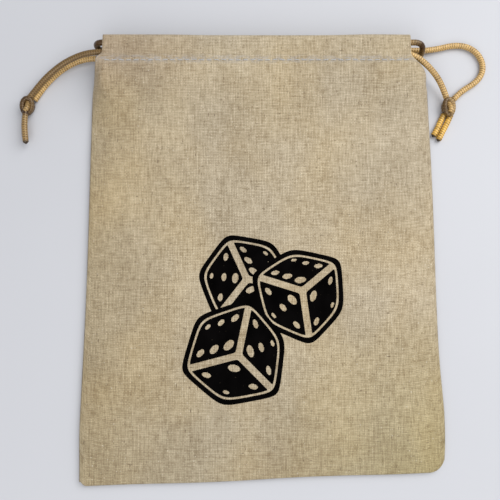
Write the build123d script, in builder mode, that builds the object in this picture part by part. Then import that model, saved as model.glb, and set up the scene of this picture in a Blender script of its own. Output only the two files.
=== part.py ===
from build123d import *
import math
import os

# A drawstring dice bag lying flat on its back: two cloth panels sewn along the sides and the bottom,
# a hemmed channel across each panel at the mouth, and two drawcords, one knotted at each side.
# X runs across the bag, +Y towards its mouth, +Z up. The origin is on the surface under its middle.

# Overall sizes, in mm
bag_width = 150.0
bag_length = 194.0
bottom_rise = 6.0           # the right-hand corner of the bottom edge is this much higher than the left
left_corner_radius = 1.5
right_corner_radius = 6.0

# Cloth and how full the bag stands
cloth = 0.5
seam_allowance = 1.2        # the turned-in edges of both panels, one on the other
pocket_gap = 5.0            # between the panels in the middle of the bag
side_slope = 22.0           # width over which the front falls to a side seam
bottom_slope = 22.0         # length over which the front falls to the bottom seam
least_crown = 0.1           # the middle of the front stands at least this much above its sides
seam_width = 3.0
bottom_seam_width = 6.0
seam_inset = 0.5            # the seams lie this far inside the panels' edge

# Drawcords and their channels
cord_diameter = 2.7
channel_clearance = 0.3     # above and below a cord in its channel
casing_depth = 13.2         # from the mouth edge to the row of stitches
casing_left_inset = 5.4     # the channels' open ends stand back from the bag's sides
casing_right_inset = 9.0
notch_rise = 1.7            # the sides draw in to the channels' ends a little above the stitches
left_notch_drop = 3.8       # and start to draw in this far below them
right_notch_drop = 5.8
seam_stop = 6.0             # the side seams end this far below the stitches
mouth_gap = 4.6             # between the two hems
hem_flange = 3.8
hem_ramp = 1.4
hem_fold = 0.8
rise_length = 24.5          # length over which the front rises from the pocket to the mouth
lane_lower = 8.4            # from the mouth edge to a cord in the lower lane
lane_upper = 4.0            # from the mouth edge to a cord in the upper lane
cord_crossing_gap = 0.45    # between the cords where one passes under the other
dip_left = -16.0            # the lower cord is fully down between these two places
dip_right = 20.0
dip_ramp = 24.0
dip_margin = 2.5            # the dip in the hem is longer than the cord's on each side
left_cord_slack = 4.0       # how far each cord slides before its far bend meets the hems
right_cord_slack = 1.2
bend_clearance = 1.2        # left between that bend and the hems

# Knots and thread
knot_length = 8.4
knot_width = 7.4
knot_height = 6.4
knot_rim = 0.35             # flat left between the knot's two rounded rims
left_knot_spot = (-104.3, 66.6)
left_knot_turn = -8.0
right_knot_spot = (84.2, 66.2)
right_knot_turn = 6.0
stitch_length = 2.4
stitch_pitch = 3.2
stitch_width = 0.45
stitch_height = 0.3
back_row_shift = 1.0        # the back row lies this far below the front one

# Printed dice
ink = 0.1
die_edge = 24.5
die_border = 1.7
die_line = 0.8
die_bar = 2.5
pip_radius = 2.0
outer_rounding = 3.0        # corner radii of a die's border, of the window in it, and of its faces
window_rounding = 2.0
face_rounding = 1.0
pip_inset = 0.25            # the outer pips' middles, as a share of a face's side
dice = [                    # position of the near corner, and turn in degrees
    ((-6.5, -12.0), 32.0),
    ((17.5, -17.0), -24.0),
    ((-9.5, -44.5), -12.0),
]

# Levels that follow from these sizes
half_width = bag_width / 2
mouth_y = bag_length / 2
bottom_y = -bag_length / 2
stitch_y = mouth_y - casing_depth
casing_left = -half_width + casing_left_inset
casing_right = half_width - casing_right_inset
channel = cord_diameter + 2 * channel_clearance
back_hem_top = cloth + channel + cloth
front_hem_bottom = back_hem_top + mouth_gap
front_inside = front_hem_bottom + cloth + channel
front_top = front_inside + cloth
pocket_top = cloth + pocket_gap + cloth
edge_inside = cloth + seam_allowance
rise_end = stitch_y - hem_flange - seam_inset
rise_start = rise_end - rise_length
cord_radius = cord_diameter / 2
back_cord_z = cloth + channel / 2
front_cord_z = front_inside - channel / 2
lower_y = mouth_y - lane_lower
upper_y = mouth_y - lane_upper
crossing_drop = cord_diameter + cord_crossing_gap


def outline_points():
    """The panels' flat outline, from the lower left corner round to the left side."""
    right_bottom = bottom_y + bottom_rise
    return [
        (-half_width, bottom_y),
        (half_width, right_bottom),
        (half_width, stitch_y - right_notch_drop),
        (casing_right, stitch_y + notch_rise),
        (casing_right, mouth_y),
        (casing_left, mouth_y),
        (casing_left, stitch_y + notch_rise),
        (-half_width, stitch_y - left_notch_drop),
    ]


def bottom_edge(x):
    """Height in Y of the slanting bottom edge at x."""
    return bottom_y + bottom_rise * (x + half_width) / bag_width


def outline_sketch():
    """The panels' outline with its two bottom corners rounded."""
    with BuildSketch() as sketch:
        with BuildLine():
            Polyline(*outline_points(), close=True)
        make_face()
        corners = sketch.vertices().group_by(Axis.Y)
        fillet(corners[0], left_corner_radius)
        lower_half = sketch.vertices().filter_by(lambda v: v.Y < 0)
        fillet(lower_half.sort_by(Axis.X)[-1], right_corner_radius)
    return sketch.sketch


def front_section(edge, crown):
    """Closed cross-section of the front panel: flat in the middle, falling to a thin edge each side."""
    shoulder = half_width - side_slope
    top = [(-half_width, edge), (-shoulder, crown), (shoulder, crown), (half_width, edge)]
    return top + [(x, z - cloth) for x, z in reversed(top)]


def casing_section(depth, away):
    """Closed cross-section of a hem, in (y, height above its panel). away is +1 up and -1 down."""
    foot = stitch_y - hem_flange
    start = stitch_y + hem_ramp
    points = [
        (foot, 0.0),
        (foot, cloth),
        (stitch_y, cloth),
        (start, depth + cloth),
        (mouth_y - hem_fold, depth + cloth),
        (mouth_y, depth + cloth - hem_fold),
        (mouth_y, 0.0),
        (mouth_y - cloth, 0.0),
        (mouth_y - cloth, depth - hem_fold),
        (mouth_y - cloth - hem_fold, depth),
        (start + cloth, depth),
        (stitch_y + cloth, 0.0),
    ]
    return [(y, away * h) for y, h in points]


def corner_radii(points):
    """The largest tangent arcs along a route: 0.45 of the shorter run over the tangent of half the turn."""
    route = [Vector(*p) for p in points]
    radii = []
    for before, corner, after in zip(route, route[1:], route[2:]):
        run_in = corner - before
        run_out = after - corner
        half_turn = math.radians(run_in.get_angle(run_out)) / 2
        radii.append(0.45 * min(run_in.length, run_out.length) / math.tan(half_turn))
    return radii


def cord_tube(points):
    """Round tube of the cord's diameter along a route of straight runs joined by tangent arcs."""
    with BuildPart() as tube:
        with BuildLine() as route:
            FilletPolyline(*points, radius=corner_radii(points))
        path = route.wires()[0]
        with BuildSketch(Plane(origin=path @ 0, z_dir=path % 0)):
            Circle(cord_radius)
        sweep(path=path)
    return tube.part, path.length


# Back panel, flat on the surface; its top strip is the outer wall of the back channel
panel_outline = outline_sketch()
with BuildPart() as back_panel:
    with BuildSketch(Plane.XY):
        add(panel_outline)
    extrude(amount=cloth)

# Front panel: thin at its seams, lofted over the pocket and up over the mouth
stations = [
    (bottom_y - 1.0, edge_inside + cloth, edge_inside + cloth + least_crown),
    (bottom_y + bottom_slope, edge_inside + cloth, pocket_top),
    (rise_start, edge_inside + cloth, pocket_top),
    (rise_end, front_top, front_top + least_crown),
    (mouth_y + 1.0, front_top, front_top + least_crown),
]
with BuildPart() as front_panel:
    for near, far in zip(stations, stations[1:]):
        for y, edge, crown in (near, far):
            with BuildSketch(Plane(origin=(0, y, 0), x_dir=(1, 0, 0), z_dir=(0, -1, 0))):
                with BuildLine():
                    Polyline(*front_section(edge, crown), close=True)
                make_face()
        loft(ruled=True)
    with BuildSketch(Plane.XY):
        add(panel_outline)
    extrude(amount=2 * front_top, mode=Mode.INTERSECT)

# Back hem, folded in at the mouth and stitched down: a channel with a flat top
with BuildPart() as back_casing:
    with BuildSketch(Plane(origin=(casing_left, 0, cloth), x_dir=(0, 1, 0), z_dir=(1, 0, 0))):
        with BuildLine():
            Polyline(*casing_section(channel, 1), close=True)
        make_face()
    extrude(amount=casing_right - casing_left)

# Front hem, the same the other way up, with a dip where one cord passes under the other
hem_stations = [
    (casing_left, channel),
    (dip_left - dip_ramp - dip_margin, channel),
    (dip_left - dip_margin, channel + crossing_drop),
    (dip_right + 2 * dip_margin, channel + crossing_drop),
    (dip_right + dip_ramp + 2 * dip_margin, channel),
    (casing_right, channel),
]
with BuildPart() as front_casing:
    for near, far in zip(hem_stations, hem_stations[1:]):
        for x, depth in (near, far):
            with BuildSketch(Plane(origin=(x, 0, front_inside), x_dir=(0, 1, 0), z_dir=(1, 0, 0))):
                with BuildLine():
                    Polyline(*casing_section(depth, -1), close=True)
                make_face()
        loft(ruled=True)

# Rows of stitches that close the channels
stitch_count = int((casing_right - casing_left) / stitch_pitch)
stitch_middle = (casing_left + casing_right) / 2
with BuildPart() as front_stitches:
    with BuildSketch(Plane.XY.offset(front_top + least_crown)):
        with Locations((stitch_middle, stitch_y)):
            with GridLocations(stitch_pitch, 1, stitch_count, 1):
                SlotOverall(stitch_length, stitch_width)
    extrude(amount=stitch_height)
with BuildPart() as back_stitches:
    with BuildSketch(Plane.XY.offset(2 * cloth)):
        with Locations((stitch_middle, stitch_y - back_row_shift)):
            with GridLocations(stitch_pitch, 1, stitch_count, 1):
                SlotOverall(stitch_length, stitch_width)
    extrude(amount=stitch_height)


def side_profile(low, high):
    """Side seam seen from the side, in (y, z): it fills the space between the panels' edges."""
    slope = (front_inside - edge_inside) / rise_length
    return [
        (low, cloth),
        (high, cloth),
        (high, edge_inside + slope * (high - rise_start)),
        (rise_start, edge_inside),
        (low, edge_inside),
    ]


# Side seams, with the panels' turned-in edges; they stop below the channels' open ends
side_top = stitch_y - seam_stop
with BuildPart() as left_side_seam:
    with BuildSketch(Plane(origin=(-half_width + seam_inset, 0, 0), x_dir=(0, 1, 0), z_dir=(1, 0, 0))):
        with BuildLine():
            Polyline(*side_profile(bottom_y + 2 * seam_inset + left_corner_radius, side_top), close=True)
        make_face()
    extrude(amount=seam_width)
with BuildPart() as right_side_seam:
    with BuildSketch(Plane(origin=(half_width - seam_inset - seam_width, 0, 0), x_dir=(0, 1, 0),
                           z_dir=(1, 0, 0))):
        with BuildLine():
            right_low = bottom_y + bottom_rise + right_corner_radius
            Polyline(*side_profile(right_low, side_top), close=True)
        make_face()
    extrude(amount=seam_width)

# Bottom seam, between the two side seams
seam_end = half_width - right_corner_radius - seam_inset
with BuildPart() as bottom_seam:
    with BuildSketch(Plane.XY.offset(cloth)):
        seam_start = -half_width + 2 * seam_inset + seam_width
        with BuildLine():
            Polyline(
                (seam_start, bottom_edge(seam_start) + seam_inset),
                (seam_end, bottom_edge(seam_end) + seam_inset),
                (seam_end, bottom_edge(seam_end) + seam_inset + bottom_seam_width),
                (seam_start, bottom_edge(seam_start) + seam_inset + bottom_seam_width),
                close=True,
            )
        make_face()
    extrude(amount=seam_allowance)


def spoke(length, angle):
    """Point at a distance and an angle, in degrees, from a die's near corner."""
    return Vector(length * math.cos(math.radians(angle)), length * math.sin(math.radians(angle)))


def hexagon(corner, reach, turn):
    """Outline of a corner-on cube of the given reach."""
    return [Vector(*corner) + spoke(reach, turn + 60 * i) for i in range(6)]


# A die's three pip patterns, as shares of the face's sides
near_and_far = (pip_inset, 1 - pip_inset)
four = [(u, v) for u in near_and_far for v in near_and_far]
five = four + [(0.5, 0.5)]
six = four + [(u, 0.5) for u in near_and_far]
reach = die_edge * math.sqrt(2 / 3)

# Printed motif: three cubes seen corner-on, each a border line round three pipped faces
with BuildPart() as dice_print:
    with BuildSketch(Plane.XY.offset(pocket_top)) as motif:
        for corner, turn in dice:
            with BuildSketch(mode=Mode.PRIVATE) as die:
                Polygon(*hexagon(corner, reach + die_border, turn), align=None)
                fillet(die.vertices(), outer_rounding)
            with BuildSketch(mode=Mode.PRIVATE) as window:
                Polygon(*hexagon(corner, reach, turn), align=None)
                fillet(window.vertices(), window_rounding)
            add(die.sketch)
            add(window.sketch, mode=Mode.SUBTRACT)
            for side, pips in enumerate((six, five, four)):
                first = spoke(reach, turn + 120 * side)
                second = spoke(reach, turn + 120 * side + 120)
                middle = Vector(*corner) + (first + second) * 0.5
                with BuildSketch(mode=Mode.PRIVATE) as face:
                    full = [Vector(*corner), Vector(*corner) + first,
                            Vector(*corner) + first + second, Vector(*corner) + second]
                    shrink = 1 - die_bar / reach
                    Polygon(*[middle + (p - middle) * shrink for p in full], align=None)
                    fillet(face.vertices(), face_rounding)
                    for u, v in pips:
                        spot = middle + (first * (u - 0.5) + second * (v - 0.5)) * shrink
                        with Locations((spot.X, spot.Y)):
                            Ellipse(pip_radius, pip_radius / math.sqrt(3),
                                    rotation=turn + 120 * side + 150, mode=Mode.SUBTRACT)
                add(face.sketch)
    extrude(amount=ink)

# Left drawcord: from its knot in through the front channel, round at the right, and back to the knot
left_bend_x = casing_right + left_cord_slack + cord_radius + bend_clearance
left_route = [
    (-103.6, 69.8, 3.7),
    (-100.4, 74.2, 4.0),
    (-97.0, 78.4, 4.6),
    (-92.8, 81.9, 5.7),
    (-88.0, 84.9, 7.2),
    (-82.4, 87.1, 8.9),
    (-76.4, 88.4, 10.4),
    (-69.0, lower_y, front_cord_z),
    (-56.0, lower_y - 0.2, front_cord_z),
    (-34.0, lower_y - 0.1, front_cord_z),
    (-14.0, lower_y + 0.1, front_cord_z),
    (14.0, upper_y - 0.2, front_cord_z),
    (38.0, upper_y + 0.1, front_cord_z),
    (55.0, upper_y, front_cord_z),
    (63.5, upper_y - 0.1, front_cord_z),
    (left_bend_x, upper_y - 0.1, front_cord_z),
    (left_bend_x, lower_y + 0.1, back_cord_z),
    (63.5, lower_y + 0.1, back_cord_z),
    (50.0, lower_y + 0.3, back_cord_z),
    (26.0, lower_y + 0.1, back_cord_z),
    (-10.0, lower_y + 0.3, back_cord_z),
    (-40.0, lower_y + 0.1, back_cord_z),
    (-58.0, lower_y + 0.3, back_cord_z),
    (-69.0, lower_y + 0.8, back_cord_z),
    (-76.0, lower_y + 0.9, 2.0),
    (-82.0, lower_y - 0.5, 1.7),
    (-87.4, 85.2, 1.5),
    (-91.9, 81.5, 1.42),
    (-95.6, 77.4, 1.4),
    (-98.7, 73.2, 1.41),
    (-101.2, 69.2, 1.4),
]

# Right drawcord: from its knot under the left cord in the front channel, round at the left, and back
right_bend_x = casing_left - right_cord_slack - cord_radius - bend_clearance
dip_z = front_cord_z - crossing_drop
right_route = [
    (83.4, 69.6, 3.7),
    (81.4, 74.8, 4.9),
    (78.3, 79.3, 6.8),
    (74.0, 83.2, 9.0),
    (68.6, 86.7, 10.9),
    (61.0, lower_y - 0.1, front_cord_z),
    (dip_right + dip_ramp, lower_y + 0.1, front_cord_z),
    (dip_right, lower_y + 0.3, dip_z),
    (dip_left, upper_y - 0.1, dip_z),
    (dip_left - dip_ramp, upper_y, front_cord_z),
    (-56.0, upper_y - 0.2, front_cord_z),
    (-66.0, upper_y - 0.1, front_cord_z),
    (right_bend_x, upper_y - 0.1, front_cord_z),
    (right_bend_x, upper_y + 0.3, back_cord_z),
    (-66.0, upper_y + 0.3, back_cord_z),
    (-54.0, upper_y + 0.1, back_cord_z),
    (-30.0, upper_y + 0.3, back_cord_z),
    (8.0, upper_y + 0.1, back_cord_z),
    (40.0, upper_y + 0.3, back_cord_z),
    (58.0, upper_y + 0.2, back_cord_z),
    (68.0, upper_y + 0.5, back_cord_z),
    (75.0, 93.4, 2.0),
    (81.4, 94.6, 1.6),
    (87.8, 96.3, 1.42),
    (94.0, 96.0, 1.4),
    (98.9, 92.9, 1.41),
    (101.4, 87.5, 1.4),
    (100.6, 82.0, 1.41),
    (96.8, 77.7, 1.4),
    (91.0, 74.3, 1.41),
    (87.0, 70.2, 1.4),
]

left_tail_upper_route = [(-104.6, 64.0, 4.2), (-104.9, 58.6, 4.16), (-104.4, 53.4, 4.1), (-103.8, 48.6, 3.7)]
left_tail_lower_route = [(-104.9, 64.0, 1.41), (-105.2, 59.0, 1.4), (-104.7, 54.6, 1.41), (-104.0, 51.0, 1.4)]
right_tail_inner_route = [(82.3, 63.0, 1.41), (80.4, 59.4, 1.4), (78.9, 55.8, 1.41), (76.9, 52.6, 1.4)]
right_tail_outer_route = [(85.4, 62.8, 1.41), (83.7, 58.4, 1.4), (81.6, 54.2, 1.41), (79.8, 50.2, 1.4)]

tubes = {}
for name, points in (
    ("left_cord", left_route),
    ("right_cord", right_route),
    ("left_tail_upper", left_tail_upper_route),
    ("left_tail_lower", left_tail_lower_route),
    ("right_tail_inner", right_tail_inner_route),
    ("right_tail_outer", right_tail_outer_route),
):
    tubes[name], length = cord_tube(points)
    section = math.pi * cord_radius ** 2
    radii = ", ".join(f"{r:.1f}" for r in corner_radii(points))
    ratio = tubes[name].volume / section / length
    print(f"{name}: length {length:.1f}, volume / (section x length) {ratio:.4f}")
    print(f"  radii {radii}")


def knot(spot, turn):
    """Overhand knot as one rounded solid, longer along the cord than it is wide."""
    with BuildPart() as body:
        with BuildSketch(Plane(origin=(*spot, knot_height / 2)).rotated((0, 0, turn))):
            Ellipse(knot_width / 2, knot_length / 2)
        extrude(amount=knot_height / 2, both=True)
        rims = body.edges().filter_by(lambda e: e.geom_type != GeomType.LINE)
        fillet(rims, (knot_height - knot_rim) / 2)
    return body.part


knots = {
    "left_knot": knot(left_knot_spot, left_knot_turn),
    "right_knot": knot(right_knot_spot, right_knot_turn),
}

# Each sub-part is written as a node of its own
back_panel.part.label = "back_panel"
front_panel.part.label = "front_panel"
back_casing.part.label = "back_casing"
front_casing.part.label = "front_casing"
front_stitches.part.label = "front_casing_stitches"
back_stitches.part.label = "back_casing_stitches"
left_side_seam.part.label = "left_side_seam"
right_side_seam.part.label = "right_side_seam"
bottom_seam.part.label = "bottom_seam"
dice_print.part.label = "dice_print"
pieces = [back_panel.part, front_panel.part, back_casing.part, front_casing.part, front_stitches.part,
          back_stitches.part, left_side_seam.part, right_side_seam.part, bottom_seam.part, dice_print.part]
for name, solid in {**tubes, **knots}.items():
    solid.label = name
    pieces.append(solid)

os.makedirs("parts", exist_ok=True)
for piece in pieces:
    export_step(piece, f"parts/{piece.label}.step")
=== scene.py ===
import math

import bpy
import numpy as np
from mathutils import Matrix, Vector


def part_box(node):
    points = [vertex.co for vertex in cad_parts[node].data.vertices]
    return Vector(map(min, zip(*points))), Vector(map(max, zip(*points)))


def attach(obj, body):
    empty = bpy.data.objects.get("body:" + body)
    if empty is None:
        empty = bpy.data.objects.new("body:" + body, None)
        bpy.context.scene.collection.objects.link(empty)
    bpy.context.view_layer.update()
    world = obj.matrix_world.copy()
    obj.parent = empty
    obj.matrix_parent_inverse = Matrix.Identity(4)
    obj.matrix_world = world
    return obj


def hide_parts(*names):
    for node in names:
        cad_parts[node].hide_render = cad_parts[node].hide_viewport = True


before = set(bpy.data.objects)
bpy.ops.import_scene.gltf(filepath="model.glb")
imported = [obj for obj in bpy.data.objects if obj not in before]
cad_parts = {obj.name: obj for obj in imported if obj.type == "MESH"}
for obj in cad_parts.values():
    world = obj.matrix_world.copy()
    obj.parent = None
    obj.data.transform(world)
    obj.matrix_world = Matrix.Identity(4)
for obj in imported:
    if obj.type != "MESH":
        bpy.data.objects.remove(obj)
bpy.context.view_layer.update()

bl_info = {
    "name": "Drawstring Bag Dresser",
    "version": (1, 0, 0),
    "blender": (4, 5, 0),
    "location": "View3D > Sidebar > Drawstring Bag",
    "description": "Dresses the packed drawstring bag in linen, printed ink and braided cord",
    "category": "Object",
}

MM = 0.001


def box_mm(node):
    """Lowest and highest corner of a node of the frame, in millimetres."""
    low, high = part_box(node)
    return np.array(low) / MM, np.array(high) / MM


# Levels of the bag, in millimetres, read from the frame
PANEL_LOW, PANEL_HIGH = box_mm("back_panel")
FRONT_TOP = box_mm("front_panel")[1][2]
HEM_LOW, HEM_HIGH = box_mm("front_casing")
ROW_LOW, ROW_HIGH = box_mm("front_casing_stitches")
BACK_ROW_LOW, BACK_ROW_HIGH = box_mm("back_casing_stitches")
PRINT_TOP = box_mm("dice_print")[1][2]
HALF_WIDTH = PANEL_HIGH[0]
BOTTOM_Y = PANEL_LOW[1]
MOUTH_Y = PANEL_HIGH[1]
STITCH_Y = (ROW_LOW[1] + ROW_HIGH[1]) / 2
BACK_STITCH_Y = (BACK_ROW_LOW[1] + BACK_ROW_HIGH[1]) / 2

# Measures of the cloth and its making, in millimetres
UNDER_BOX = 0.1
BOTTOM_RISE = 6.0
RIGHT_CORNER = 6.0
LEFT_CORNER = 2.5
CHANNEL_DEPTH = 3.8
CROSSING_DIP = 3.15
END_DIP = 0.45
FOLD_RADIUS = 1.9
FOLD_SPARE = 0.5
HEM_FOOT_Y = 80.1
HEM_BEND_Y = 86.8
OUTER_ROWS = 196
TABLE_GAP = 0.02
SEAM_HALF_THICKNESS = 0.50
SEAM_MIDDLE_Z = 1.08
STITCH_PITCH = 3.2
BACK_ROW_LEVEL = 1.02
INK_LIFT = 0.05
PRINT_STEP = 0.29
OUTLINE_WIDTH = 1.95
ROW_DROP = STITCH_Y - MOUTH_Y + 2.65

# The camera's place and half the side of the table, in metres
CAMERA_PLACE = (-0.0047, -0.0500, 0.2924)
TABLE_HALF_SIDE = 1.6

# The routes of the cords and of their tails, in metres, each the control points of one smooth line
LEFT_ROUTE = [
    (-0.1036, 0.0698, 0.0037), (-0.1004, 0.0742, 0.0040), (-0.0970, 0.0784, 0.0046),
    (-0.0928, 0.0819, 0.0057), (-0.0880, 0.0849, 0.0072), (-0.0824, 0.0871, 0.0089),
    (-0.0764, 0.0884, 0.0104), (-0.0690, 0.0886, 0.01105), (-0.0560, 0.0884, 0.01105),
    (-0.0340, 0.0885, 0.01105), (-0.0140, 0.0887, 0.01105), (0.0140, 0.0928, 0.01105),
    (0.0380, 0.0931, 0.01105), (0.0550, 0.0930, 0.01105), (0.0635, 0.0929, 0.01105),
    (0.07255, 0.0929, 0.01105), (0.07255, 0.0887, 0.00215), (0.0635, 0.0887, 0.00215),
    (0.0500, 0.0889, 0.00215), (0.0260, 0.0887, 0.00215), (-0.0100, 0.0889, 0.00215),
    (-0.0400, 0.0887, 0.00215), (-0.0580, 0.0889, 0.00215), (-0.0690, 0.0894, 0.00215),
    (-0.0761, 0.0898, 0.0020), (-0.0824, 0.0888, 0.0017), (-0.0880, 0.0860, 0.0015),
    (-0.0926, 0.0823, 0.00142), (-0.0963, 0.0782, 0.0014), (-0.0994, 0.0739, 0.00141),
    (-0.1018, 0.0697, 0.0014),
]
RIGHT_ROUTE = [
    (0.0834, 0.0696, 0.0037), (0.0814, 0.0748, 0.0049), (0.0783, 0.0793, 0.0068),
    (0.0740, 0.0832, 0.0090), (0.0686, 0.0867, 0.0109), (0.0610, 0.0885, 0.01105),
    (0.0440, 0.0887, 0.01105), (0.0200, 0.0889, 0.0079), (-0.0160, 0.0929, 0.0079),
    (-0.0400, 0.0930, 0.01105), (-0.0560, 0.0928, 0.01105), (-0.0660, 0.0929, 0.01105),
    (-0.07335, 0.0929, 0.01105), (-0.07335, 0.0933, 0.00215), (-0.0660, 0.0933, 0.00215),
    (-0.0540, 0.0931, 0.00215), (-0.0300, 0.0933, 0.00215), (0.0080, 0.0931, 0.00215),
    (0.0400, 0.0933, 0.00215), (0.0580, 0.0932, 0.00215), (0.0680, 0.0935, 0.00215),
    (0.0750, 0.0934, 0.0020), (0.0814, 0.0946, 0.0016), (0.0878, 0.0963, 0.00142),
    (0.0940, 0.0960, 0.0014), (0.0989, 0.0929, 0.00141), (0.1014, 0.0875, 0.0014),
    (0.1006, 0.0820, 0.00141), (0.0968, 0.0777, 0.0014), (0.0910, 0.0743, 0.00141),
    (0.0870, 0.0702, 0.0014),
]
TAIL_ROUTES = {
    "left_tail_upper": [(-0.1046, 0.0640, 0.0042), (-0.1049, 0.0586, 0.00416), (-0.1044, 0.0534, 0.0041),
                        (-0.1038, 0.0486, 0.0037)],
    "left_tail_lower": [(-0.1056, 0.0640, 0.00141), (-0.1060, 0.0592, 0.0014), (-0.1056, 0.0550, 0.00141),
                        (-0.1050, 0.0515, 0.0014)],
    "right_tail_inner": [(0.0823, 0.0630, 0.00141), (0.0804, 0.0594, 0.0014), (0.0789, 0.0558, 0.00141),
                         (0.0769, 0.0526, 0.0014)],
    "right_tail_outer": [(0.0854, 0.0628, 0.00141), (0.0834, 0.0586, 0.0014), (0.0811, 0.0546, 0.00141),
                         (0.0791, 0.0506, 0.0014)],
}


# ---------------------------------------------------------------- user settings

class BagClothSettings(bpy.types.PropertyGroup):
    """Sizes and colours of the cloth, its thread and its print"""

    thickness: bpy.props.FloatProperty(
        name="Cloth thickness", description="Thickness of one layer of linen",
        default=0.0005, min=0.0002, max=0.001, precision=5, unit="LENGTH", subtype="DISTANCE")
    ripple: bpy.props.FloatProperty(
        name="Ripple height", description="How far the front rises and falls in slow ripples",
        default=0.0003, min=0.0, max=0.001, precision=5, unit="LENGTH", subtype="DISTANCE")
    thread_pitch: bpy.props.FloatProperty(
        name="Thread pitch", description="Distance between neighbouring threads of the weave",
        default=0.00072, min=0.0003, max=0.002, precision=5, unit="LENGTH", subtype="DISTANCE")
    stitch_length: bpy.props.FloatProperty(
        name="Stitch length", description="Length of one stitch along the channels",
        default=0.0024, min=0.001, max=0.004, precision=5, unit="LENGTH", subtype="DISTANCE")
    light_thread: bpy.props.FloatVectorProperty(
        name="Light threads", description="Colour of the bleached threads of the linen",
        default=(0.665, 0.565, 0.405), size=3, min=0.0, max=1.0, subtype="COLOR")
    dark_thread: bpy.props.FloatVectorProperty(
        name="Dark threads", description="Colour of the raw threads of the linen",
        default=(0.325, 0.252, 0.155), size=3, min=0.0, max=1.0, subtype="COLOR")
    sewing_thread: bpy.props.FloatVectorProperty(
        name="Sewing thread", description="Colour of the thread that closes the channels",
        default=(0.47, 0.47, 0.46), size=3, min=0.0, max=1.0, subtype="COLOR")
    ink: bpy.props.FloatVectorProperty(
        name="Ink", description="Colour of the printed dice",
        default=(0.0014, 0.0012, 0.0012), size=3, min=0.0, max=1.0, subtype="COLOR")


class BagCordSettings(bpy.types.PropertyGroup):
    """Sizes and colours of the two drawcords"""

    diameter: bpy.props.FloatProperty(
        name="Cord diameter", description="Diameter of a drawcord",
        default=0.0027, min=0.001, max=0.005, precision=5, unit="LENGTH", subtype="DISTANCE")
    rib_pitch: bpy.props.FloatProperty(
        name="Rib pitch", description="Distance between the braid's ribs along a cord",
        default=0.0011, min=0.0005, max=0.003, precision=5, unit="LENGTH", subtype="DISTANCE")
    gold: bpy.props.FloatVectorProperty(
        name="Gold", description="Colour of the cord's satin strands",
        default=(0.84, 0.545, 0.205), size=3, min=0.0, max=1.0, subtype="COLOR")
    # Painted light: the right cord's ends, which lie in more light, get a brighter and more orange gold
    lit_gold: bpy.props.FloatVectorProperty(
        name="Bright gold", description="Colour of the loosened strands at the right cord's ends",
        default=(0.98, 0.58, 0.11), size=3, min=0.0, max=1.0, subtype="COLOR")
    # Painted shade: this brown darkens the valleys between the ribs, the tight turns and the other shaded
    # parts of the cords
    brown: bpy.props.FloatVectorProperty(
        name="Brown", description="Colour between the strands and in the tight turns",
        default=(0.038, 0.013, 0.002), size=3, min=0.0, max=1.0, subtype="COLOR")
    singed: bpy.props.FloatVectorProperty(
        name="Singed tip", description="Colour of the melted cord ends",
        default=(0.016, 0.010, 0.010), size=3, min=0.0, max=1.0, subtype="COLOR")


class BagStageSettings(bpy.types.PropertyGroup):
    """Floor, lights and camera"""

    floor: bpy.props.FloatVectorProperty(
        name="Floor", description="Colour of the table under the bag",
        default=(0.585, 0.59, 0.615), size=3, min=0.0, max=1.0, subtype="COLOR")
    key_power: bpy.props.FloatProperty(
        name="Key light", description="Power of the large light at the upper right",
        default=7.0, min=0.0, max=100.0, unit="POWER")
    fill_power: bpy.props.FloatProperty(
        name="Fill light", description="Power of the wide light over the bottom edge",
        default=3.7, min=0.0, max=100.0, unit="POWER")
    sky: bpy.props.FloatProperty(
        name="Sky", description="Strength of the even light from all round",
        default=0.46, min=0.0, max=4.0, subtype="FACTOR")
    focal_length: bpy.props.FloatProperty(
        name="Focal length", description="Focal length of the camera, in millimetres",
        default=49.08, min=20.0, max=200.0, unit="CAMERA")
    tilt: bpy.props.FloatProperty(
        name="Camera tilt", description="Turn of the camera from straight down towards the mouth",
        default=math.radians(10.0), min=0.0, max=1.0, unit="ROTATION", subtype="ANGLE")


# ---------------------------------------------------------------- shapes

def smooth(start, end, value):
    """Smoothstep: 0 up to start, 1 from end, and 3t^2 - 2t^3 between them."""
    t = np.clip((value - start) / (end - start), 0.0, 1.0)
    return t * t * (3.0 - 2.0 * t)


def bell(value, middle, width):
    """Gaussian bell: exp of minus the square of the distance from the middle over the width."""
    return np.exp(-((value - middle) / width) ** 2)


def quads(rows, columns, wrap=False):
    """Quads of a grid numbered row by row; wrap joins the last column to the first."""
    r = np.arange(rows - 1)[:, None]
    c = np.arange(columns if wrap else columns - 1)[None, :]
    after = (c + 1) % columns
    corners = [r * columns + c, r * columns + after, (r + 1) * columns + after, (r + 1) * columns + c]
    return np.stack(np.broadcast_arrays(*corners), axis=-1).reshape(-1, 4)


def unit(vectors):
    """Vectors divided by their lengths."""
    return vectors / np.linalg.norm(vectors, axis=-1, keepdims=True)


def make_piece(name, points, faces, material, body, replaces=(), uv=None, values=None):
    """Puts points, in millimetres, and faces into a smooth-shaded mesh object, and fixes it to the frame.

    uv is one pair per point, in metres; values maps an attribute's name to one number per point.
    """
    mesh = bpy.data.meshes.new(name)
    mesh.from_pydata((np.asarray(points) * MM).tolist(), [], faces)
    mesh.polygons.foreach_set("use_smooth", np.ones(len(mesh.polygons), bool))
    if uv is not None:
        corner = np.empty(len(mesh.loops), np.int32)
        mesh.loops.foreach_get("vertex_index", corner)
        mesh.uv_layers.new(name="cloth").data.foreach_set("uv", np.asarray(uv)[corner].ravel())
    for key, numbers in (values or {}).items():
        mesh.attributes.new(key, "FLOAT", "POINT").data.foreach_set("value", np.asarray(numbers, float))
    mesh.materials.append(material)
    mesh.update()
    piece = bpy.data.objects.new(name, mesh)
    bpy.context.scene.collection.objects.link(piece)
    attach(piece, body)
    if replaces:
        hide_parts(*replaces)
    return piece


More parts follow.
